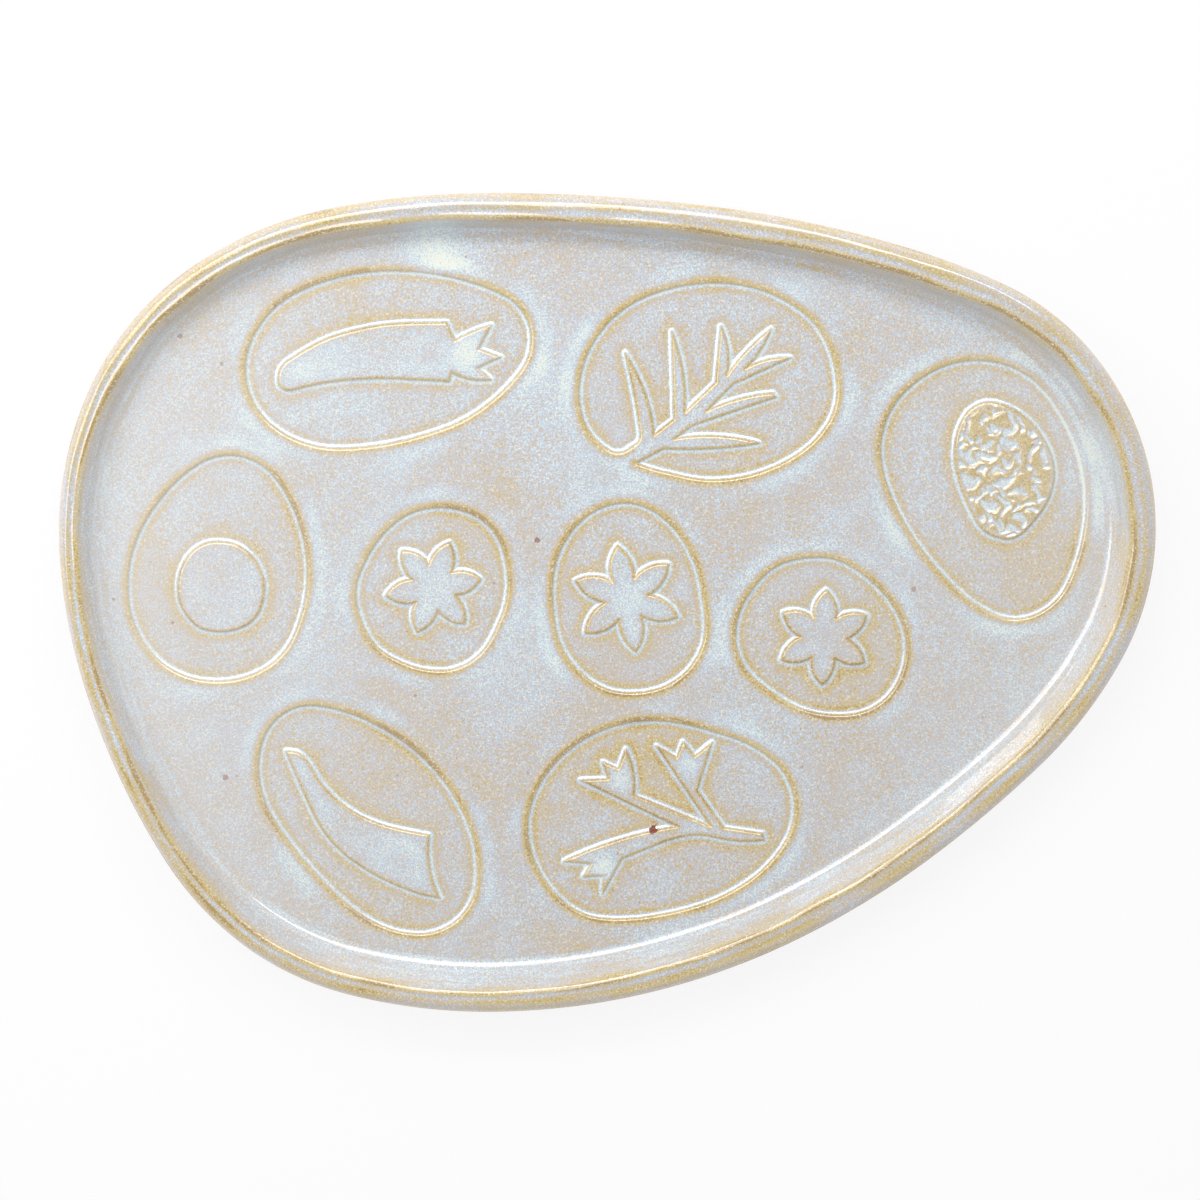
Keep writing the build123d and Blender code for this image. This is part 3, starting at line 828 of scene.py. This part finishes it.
def makeCoil():
    # A cove tangent to the wall's inner face and to the field, closed behind by its own back
    look = coilLook
    top, foot, sunk = np.array(look["wallTop"]), np.array(look["wallFoot"]), look["sunk"]
    lean = unit(top - foot)
    turn = np.arctan2(lean[1], -lean[0])                    # the wall's slope from the field
    middle = foot + np.array([look["radius"] * np.tan(turn / 2), look["radius"]])
    angle = np.linspace(0, turn, look["steps"] + 1)
    cove = middle + look["radius"] * np.stack([-np.sin(angle), -np.cos(angle)], axis=1)
    first = cove[0] + look["overField"]
    last = cove[-1] + lean * look["upWall"] - [look["intoWall"], 0]
    back = [last - [sunk, 0], foot - [sunk, sunk], first - [0, sunk]]
    section = np.vstack([first, cove, last, back])
    inset = section[:, 0] + rimShift(section[:, 0])
    level = ripple(sweep(inset, section[:, 1])[:, :2]).reshape(inset.shape)
    share = np.clip(1 - section[:, 1] / look["rippleTop"], 0, 1)
    height = fieldHeight + section[:, 1] + level * share
    corners = sweep(inset, height)
    depth = look["glaze"] - look["thin"] * ease(section[:, 1], look["thinFrom"], look["thinTo"])
    depth = depth + rimDrift(corners, section[:, 0], section[:, 1])
    triangles = gridTriangles(*depth.shape)
    makePiece("seam_coil", corners, triangles, depth.ravel(), glaze)


footLook = {
    "width": 8.0,
    "edge": [(0.0, 1.4), (0.25, 0.5), (1.0, 0.0)],          # in from a side, up from the table
    "waver": 0.12, "waverAt": 0.9, "waverWidth": 0.7, "cycles": (6, 60), "seed": 43,
}


def makeFoot():
    # A plain ring with eased lower edges, a little uneven where it was trimmed by hand
    look, high = footLook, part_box("foot_ring")[1]
    width, top = look["width"], high.z / millimetre
    farEdge = [(width - across, up) for across, up in reversed(look["edge"])]
    section = np.array([(0.0, top)] + look["edge"] + farEdge + [(width, top)])
    waver = look["waver"] * wobble(look["seed"], look["cycles"])[:, None]
    waver = waver * bell(section[:, 1], look["waverAt"], look["waverWidth"])
    inset = (cadBox[1].x - high.x) / millimetre
    corners = sweep(inset + section[:, 0] + waver, section[:, 1])
    depth = np.zeros(len(corners))
    triangles = gridTriangles(*waver.shape)
    makePiece("foot_ring", corners, triangles, depth, clay)


makeRim()
makeCoil()
makeFoot()

slabLook = {
    "figureRings": [0.7, 1.0, 1.4, 2.0, 2.8],
    "edgeGap": 1.2, "ringGap": 0.7,     # room between the loose lattice and the lines
    "apart": 0.05,
    "wellReach": 3.0,                   # a well's step is spent this far from its box
    "evenRim": 3.0,                     # the slab is level at its edge and uneven from here on
    "flank": [                          # inset, height from the field, glaze depth
        (3.97, 0.0, 0.44), (4.70, -1.05, 0.42), (5.50, -2.20, 0.40), (6.35, -3.45, 0.40),
        (7.30, -4.70, 0.38), (8.60, -5.90, 0.36), (10.40, -6.70, 0.36), (12.40, -7.0, 0.40),
        (16.0, -7.0, 0.44),
    ],
    "perSpan": 3,
    "sideDrift": 0.05, "sideCycles": (4, 50), "sideSeed": 47,
    "underSpacing": 16.0, "underInset": 19.0, "underGlaze": 0.46,
}


def slabTop(edge, spread):
    # Upper face: rings beside every line and a loose lattice over the spread, let down by the
    # stamped step at their signed distance from a well's line
    look = slabLook
    distances = np.array(stepLook["rings"])
    loose = []
    for well in wells:
        both = np.concatenate([-distances, distances])
        loose.append(ringPoints(well["outline"], well["corner"], both))
        loose.append(ringPoints(well["figure"], well["figureCorner"], look["figureRings"]))
    fill = hexGrid(*spread, fieldLook["fill"])
    fill = fill[inside(fill, edge)]
    fill = fill[distanceTo(fill, segmentsOf(edge)) > look["edgeGap"]]
    fill = fill[np.abs(fromStep(fill)) > stepLook["rings"][-1] + look["ringGap"]]
    loose = thinned(np.vstack(loose + [fill]), look["apart"])
    flat, triangles = triangulate([edge] + [well["outline"] for well in wells], loose)
    triangles = triangles[inside(flat[triangles].mean(axis=1), edge)]
    signed = np.full(len(flat), stepLook["reach"])
    for well in wells:
        here = near(flat, well["outline"], look["wellReach"])
        distance = distanceTo(flat[here], well["lines"])
        onLine = distanceTo(flat[here], segmentsOf(well["outline"])) < outlineLook["onLine"]
        sunken = inside(flat[here], well["outline"]) & ~onLine
        signed[here] = np.where(sunken, -distance, np.minimum(distance, signed[here]))
    height = fieldHeight - np.interp(-signed, stepAcross, stepDown)
    height = height + ripple(flat) * ease(distanceTo(flat, segmentsOf(edge)), 0.0, look["evenRim"])
    return np.column_stack([flat, height]), triangles, glazeOn(flat, fromStep(flat))


def slabSide():
    # The flank's section carried round the belly line, open at its two ends
    section = curveThrough(slabLook["flank"], slabLook["perSpan"])
    rows, columns = len(bellyLine), len(section)
    triangles = gridTriangles(rows, columns)
    wraps = np.ptp(triangles % columns, axis=1) > 1
    drift = slabLook["sideDrift"] * wobble(slabLook["sideSeed"], slabLook["sideCycles"])
    depth = np.tile(section[:, 2], rows) + np.repeat(drift, columns)
    return sweep(section[:, 0], fieldHeight + section[:, 1]), triangles[~wraps], depth


def makeSlab():
    # The upper face, a side that rounds under, and a flat underside
    edge = bellyLine + inward * rimLook["keys"][0][0]
    spread = edge.min(axis=0), edge.max(axis=0)
    top, topTriangles, topDepth = slabTop(edge, spread)
    side, sideTriangles, sideDepth = slabSide()
    underEdge = side.reshape(len(bellyLine), -1, 3)[:, -1, :2]
    fill = hexGrid(*spread, slabLook["underSpacing"])
    fill = fill[inside(fill, bellyLine + inward * slabLook["underInset"])]
    underFlat, underTriangles = triangulate([underEdge], fill)
    underTriangles = underTriangles[inside(underFlat[underTriangles].mean(axis=1), underEdge)]
    under = np.column_stack([underFlat, np.full(len(underFlat), side[-1, 2])])
    # the lower faces look down, so their triangles turn the other way from the upper ones
    triangles = np.vstack([topTriangles, sideTriangles[:, ::-1] + len(top),
                           underTriangles[:, ::-1] + len(top) + len(side)])
    corners = np.vstack([top, side, under])
    depth = np.concatenate([topDepth, sideDepth, np.full(len(under), slabLook["underGlaze"])])
    makePiece("floor_slab", corners, triangles, depth, glaze)


makeSlab()


figureLook = {
    "rings": stepLook["rings"][:9], "flare": stepLook["rings"][:7],
    "fill": 1.1, "ringGap": 0.4, "apart": 0.04,
    "sunk": 0.04, "sunkFrom": 1.05, "sunkTo": 1.25,         # the flare's end, under the floor
    "mouthSlope": 0.25, "mouthReach": 0.3,                  # and the same in a well's mouth
    "below": 0.4,
}
crinkleLook = {
    "rings": 5, "fill": 0.42, "edgeGap": 0.7,
    "relief": 0.54, "from": 0.6, "to": 1.7, "middle": 0.35,
    "warp": 0.9, "warpLength": 8.0, "warpSeeds": (72, 73),
    "crease": 0.7, "creaseLength": 6.8, "creasePower": 1.5, "creaseSeed": 71,
    "lump": 0.35, "lumpLength": 4.2, "lumpMost": 1.6, "lumpSeed": 76, "waves": 40,
    "thin": 0.11, "pool": 0.70, "poolDepth": 0.5,
}


def crinkle(points):
    # Rough clay: crests where warped random waves pass through zero, over rounded lumps
    look = crinkleLook
    warp = [waves(points, seed, look["warpLength"]) for seed in look["warpSeeds"]]
    bent = points + look["warp"] * np.stack(warp, axis=1)
    crest = waves(bent, look["creaseSeed"], look["creaseLength"], look["waves"])
    crest = (1 - np.minimum(np.abs(crest), 1)) ** look["creasePower"]
    lump = waves(bent, look["lumpSeed"], look["lumpLength"], look["waves"])
    lump = np.clip(lump, -look["lumpMost"], look["lumpMost"])
    return look["crease"] * crest + look["lump"] * lump - look["middle"]


def figureTop(well, rough):
    # Points and triangles of a figure's upper face: its outline, rings inside it, a flare
    # outside it, and a lattice
    look, outline, corner = figureLook, well["figure"], well["figureCorner"]
    rings = np.array(look["rings"][:crinkleLook["rings"]] if rough else look["rings"])
    loose = [ringPoints(outline, corner, away) for away in (-rings, look["flare"])]
    low, high = outline.min(axis=0) - 1, outline.max(axis=0) + 1
    fill = hexGrid(low, high, crinkleLook["fill"] if rough else look["fill"])
    gap = distanceTo(fill, segmentsOf(outline))
    margin = crinkleLook["edgeGap"] if rough else look["rings"][-1] + look["ringGap"]
    fill = fill[inside(fill, outline) & (gap > margin)]
    flat, triangles = triangulate([outline], thinned(np.vstack(loose + [fill]), look["apart"]))
    middle = flat[triangles].mean(axis=1)
    kept = inside(middle, outline) | (distanceTo(middle, segmentsOf(outline)) < look["flare"][-1])
    used, index = np.unique(triangles[kept], return_inverse=True)
    return flat[used], index.reshape(-1, 3)


def makeFigure(well):
    # A land at the level of the field, with a flared foot that follows the stamped step, and a
    # skirt down into the slab
    look, outline = figureLook, well["figure"]
    rough = well["name"] == "charoset_pad"
    flat, triangles = figureTop(well, rough)
    # beyond the mouth of a well the land is the field, so the signed distance there stays positive
    distance = distanceTo(flat, well["figureLines"])
    edgeGap = distanceTo(flat, segmentsOf(outline))
    outside = ~inside(flat, outline) & (edgeGap > outlineLook["onLine"])
    beyondMouth = outside & ~inside(flat, well["outline"])
    signed = np.where(outside & ~beyondMouth, -distance, distance)
    signed[distance < outlineLook["onLine"]] = 0
    height = fieldHeight - np.interp(-signed, stepAcross, stepDown) + ripple(flat)
    height -= look["sunk"] * ease(-signed, look["sunkFrom"], look["sunkTo"])
    height -= beyondMouth * np.minimum(edgeGap, look["mouthReach"]) * look["mouthSlope"]
    depth = glazeOn(flat, fromStep(flat), glazeLook["figureBank"], glazeLook["figureEdge"])
    pooled = ease(signed, glazeLook["figureTopFrom"], glazeLook["figureTopTo"])
    depth += glazeLook["figureTop"] * pooled
    if rough:
        rough = crinkleLook
        lumps, share = crinkle(flat), ease(signed, rough["from"], rough["to"])
        height += rough["relief"] * lumps * share
        pool = rough["pool"] * ease(-lumps, 0.0, rough["poolDepth"])
        depth += share * (rough["thin"] + pool - depth)
    top = np.column_stack([flat, height])
    bottom = np.column_stack([flat, np.full(len(flat), fieldHeight - wellDepth - look["below"])])
    first, second = boundaryEdges(triangles).T
    skirt = np.concatenate([np.stack([second, first, first + len(flat)], axis=1),
                            np.stack([second, first + len(flat), second + len(flat)], axis=1)])
    triangles = np.vstack([triangles, triangles[:, ::-1] + len(flat), skirt])
    depth = np.concatenate([depth, depth])
    makePiece(well["name"], np.vstack([top, bottom]), triangles, depth, glaze)


for well in wells:
    makeFigure(well)


stageLook = {
    "radius": 4.0, "below": 0.00005,
    "colour": (0.97, 0.95, 1.0, 1), "roughness": 0.9, "shine": 0.1,
    "whiteShare": 0.86,                 # of what the camera sees of the floor
}


def makeStage():
    # A pale floor that keeps the plate's shadow; to the camera it is a little nearer white
    bpy.ops.mesh.primitive_circle_add(vertices=96, radius=stageLook["radius"], fill_type="NGON")
    floor = bpy.context.object
    floor.name = "paleFloor"
    floor.location.z = -stageLook["below"]
    material, tree, shader = newMaterial("pale_floor")
    shader.inputs["Base Color"].default_value = stageLook["colour"]
    shader.inputs["Roughness"].default_value = stageLook["roughness"]
    shader.inputs["Specular IOR Level"].default_value = stageLook["shine"]
    glow = addNode(tree, "ShaderNodeEmission")
    glow.inputs["Color"].default_value = (1, 1, 1, 1)
    path = addNode(tree, "ShaderNodeLightPath")
    share = maths(tree, "MULTIPLY", path.outputs["Is Camera Ray"], stageLook["whiteShare"])
    mix = addNode(tree, "ShaderNodeMixShader")
    feed(tree, mix.inputs, (share, shader.outputs["BSDF"], glow.outputs["Emission"]))
    tree.links.new(mix.outputs["Shader"], tree.nodes["Material Output"].inputs["Surface"])
    floor.data.materials.append(material)


lightLook = {
    "keyTilt": 40.0, "keyDistance": 1.15, "keyAside": -0.3,
    "keySize": (2.2, 0.12), "keyPower": 4.1, "keyColour": (1.0, 0.99, 0.97),
    "softPlace": (-0.22, 0.33, 0.60),
    "softSize": (1.3, 0.5), "softPower": 3.65, "softColour": (1.0, 0.98, 0.96),
    "zenith": 0.42, "horizon": 0.34, "lampSide": 0.1, "skyFall": 1.5,
    "skyColour": (0.97, 0.985, 1.0, 1),
}


def makeLamp(name, kind, place, turn):
    # A flat oblong lamp that shines along its own -Z
    lamp = bpy.data.lights.new(name, "AREA")
    lamp.shape = "RECTANGLE"
    lamp.size, lamp.size_y = lightLook[kind + "Size"]
    lamp.energy = lightLook[kind + "Power"]
    lamp.color = lightLook[kind + "Colour"]
    holder = bpy.data.objects.new(name, lamp)
    holder.location = place
    holder.rotation_euler = turn
    bpy.context.scene.collection.objects.link(holder)


def makeLight():
    # A long strip lamp for the crisp highlights, a wide soft one, and a sky whose strength is
    # zenith + horizon (1 - z)^fall (1 + lampSide y), over the parts of the direction
    look = lightLook
    tilt, reach = radians(look["keyTilt"]), look["keyDistance"]
    makeLamp("stripLamp", "key", (look["keyAside"], reach * np.sin(tilt), reach * np.cos(tilt)),
             (-tilt, 0, 0))
    softTurn = Vector(look["softPlace"]).to_track_quat("Z", "Y").to_euler()
    makeLamp("softLamp", "soft", look["softPlace"], softTurn)
    world = bpy.data.worlds.new("studio")
    world.use_nodes = True
    tree = world.node_tree
    background = tree.nodes["Background"]
    background.inputs["Color"].default_value = look["skyColour"]
    way = addNode(tree, "ShaderNodeSeparateXYZ")
    tree.links.new(addNode(tree, "ShaderNodeTexCoord").outputs["Generated"], way.inputs[0])
    low = maths(tree, "SUBTRACT", 1.0, way.outputs["Z"], True)
    low = maths(tree, "POWER", low, look["skyFall"])
    side = maths(tree, "ADD", maths(tree, "MULTIPLY", way.outputs["Y"], look["lampSide"]), 1.0)
    glow = maths(tree, "MULTIPLY", maths(tree, "MULTIPLY", low, side), look["horizon"])
    tree.links.new(maths(tree, "ADD", glow, look["zenith"]), background.inputs["Strength"])
    bpy.context.scene.world = world


cameraLook = {
    "target": (-0.0024, 0.0020, 0.0120), "distance": 1.2, "tilt": 9.0,
    "sensor": 36.0, "pixelsFocal": 3623.0, "pixelsWide": 1200,
}


def makeCamera():
    # Above the plate, tipped towards +Y
    tilt = radians(cameraLook["tilt"])
    target = Vector(cameraLook["target"])
    camera = bpy.data.cameras.new("camera")
    camera.sensor_width = cameraLook["sensor"]
    camera.lens = cameraLook["pixelsFocal"] / cameraLook["pixelsWide"] * cameraLook["sensor"]
    camera.clip_start, camera.clip_end = 0.01, 50
    holder = bpy.data.objects.new("camera", camera)
    holder.location = target + cameraLook["distance"] * Vector((0, np.sin(tilt), np.cos(tilt)))
    holder.rotation_euler = (-tilt, 0, 0)
    bpy.context.scene.collection.objects.link(holder)
    bpy.context.scene.camera = holder


makeStage()
makeLight()
makeCamera()
bpy.context.scene.view_settings.view_transform = "Standard"
print("stage, light and camera set")
